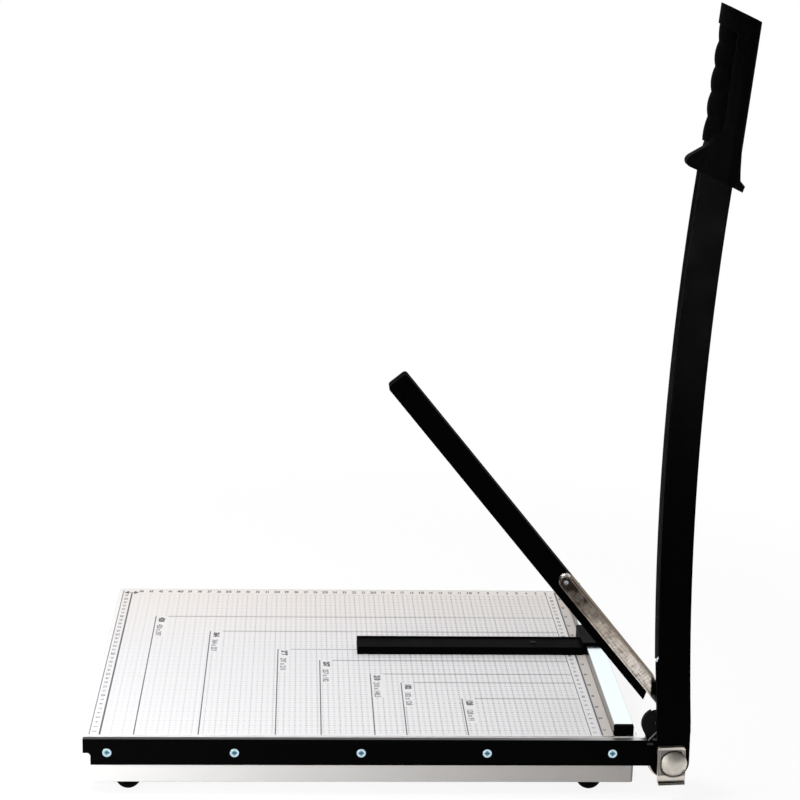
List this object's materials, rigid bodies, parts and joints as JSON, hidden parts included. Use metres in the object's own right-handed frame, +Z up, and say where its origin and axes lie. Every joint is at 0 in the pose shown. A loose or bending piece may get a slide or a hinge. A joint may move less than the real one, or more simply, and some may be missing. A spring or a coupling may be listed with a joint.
{
  "type": "paper cutter",
  "caption": "Desk paper cutter with a flat board, a swinging knife arm with a handle, a clamp bar that comes down with the arm and a sliding back gauge.",
  "frame": {"origin": "on the table, under the middle of the whole object with its arm raised", "axes": "+X along the cutting edge towards the pivot, +Y from the cutting edge to the back, +Z up"},
  "size_m": [0.5478, 0.4, 0.6888],
  "materials": {
    "base_paint": "satin",
    "board": "gloss",
    "zinc": "zinc plated",
    "rubber_black": "matte",
    "black_paint": "satin",
    "rail": "anodised",
    "black_plastic": "satin",
    "grip_soft": "matte",
    "nickel": "plated",
    "blade_steel": "ground",
    "bearing_bronze": "oiled",
    "slide_pad": "matte"
  },
  "bodies": {
    "base": {"base_shell": "base_paint", "base_rib": "zinc", "top_plate": "board", "rubber_foot": "rubber_black", "foot_screw": "zinc", "foot_nut": "zinc", "fixed_blade": "black_paint", "bar_screw": "zinc", "bar_nut": "zinc", "paper_rail": "rail", "rail_cap_front": "black_plastic", "rail_cap_back": "black_plastic", "rail_screw": "zinc", "hinge_bracket": "black_paint", "bracket_screw": "zinc", "bracket_nut": "zinc", "pivot_rim": "nickel", "pivot_bolt": "nickel", "tension_plate": "nickel", "arm_washer": "bearing_bronze", "cup_spring": "zinc", "back_washer": "zinc", "pivot_nut": "zinc", "clamp_pin": "zinc", "clamp_spring": "zinc"},
    "arm": {"knife_arm": "black_paint", "moving_blade": "blade_steel", "blade_rivet": "zinc", "pivot_bush": "bearing_bronze", "grip_front": "black_plastic", "grip_back": "black_plastic", "grip_insert": "grip_soft", "grip_screw": "zinc"},
    "clamp": {"clamp_lever": "nickel", "clamp_bar": "black_paint", "clamp_rivet": "nickel", "clamp_pad": "rubber_black", "clamp_bush": "bearing_bronze"},
    "gauge": {"gauge_bar": "black_paint", "gauge_slider": "black_plastic", "gauge_screw": "zinc", "gauge_spring": "zinc", "gauge_pad": "slide_pad"}
  },
  "joints": [
    {"name": "arm_hinge", "type": "hinge", "parent": "base", "child": "arm", "pos_m": [0.2396, -0.18577, 0.0353], "axis": [0, -1, 0], "range_deg": [0, 88]},
    {"name": "clamp_hinge", "type": "hinge", "parent": "base", "child": "clamp", "pos_m": [0.2431, -0.17752, 0.0605], "axis": [0, -1, 0], "range_deg": [0, 50.6]},
    {"name": "gauge_slide", "type": "slide", "parent": "base", "child": "gauge", "axis": [0, 1, 0], "range_m": [-0.175, 0.115]}
  ],
  "couplings": [
    {"joint": "clamp_hinge", "follows": "arm_hinge", "ratio": 0.575}
  ]
}
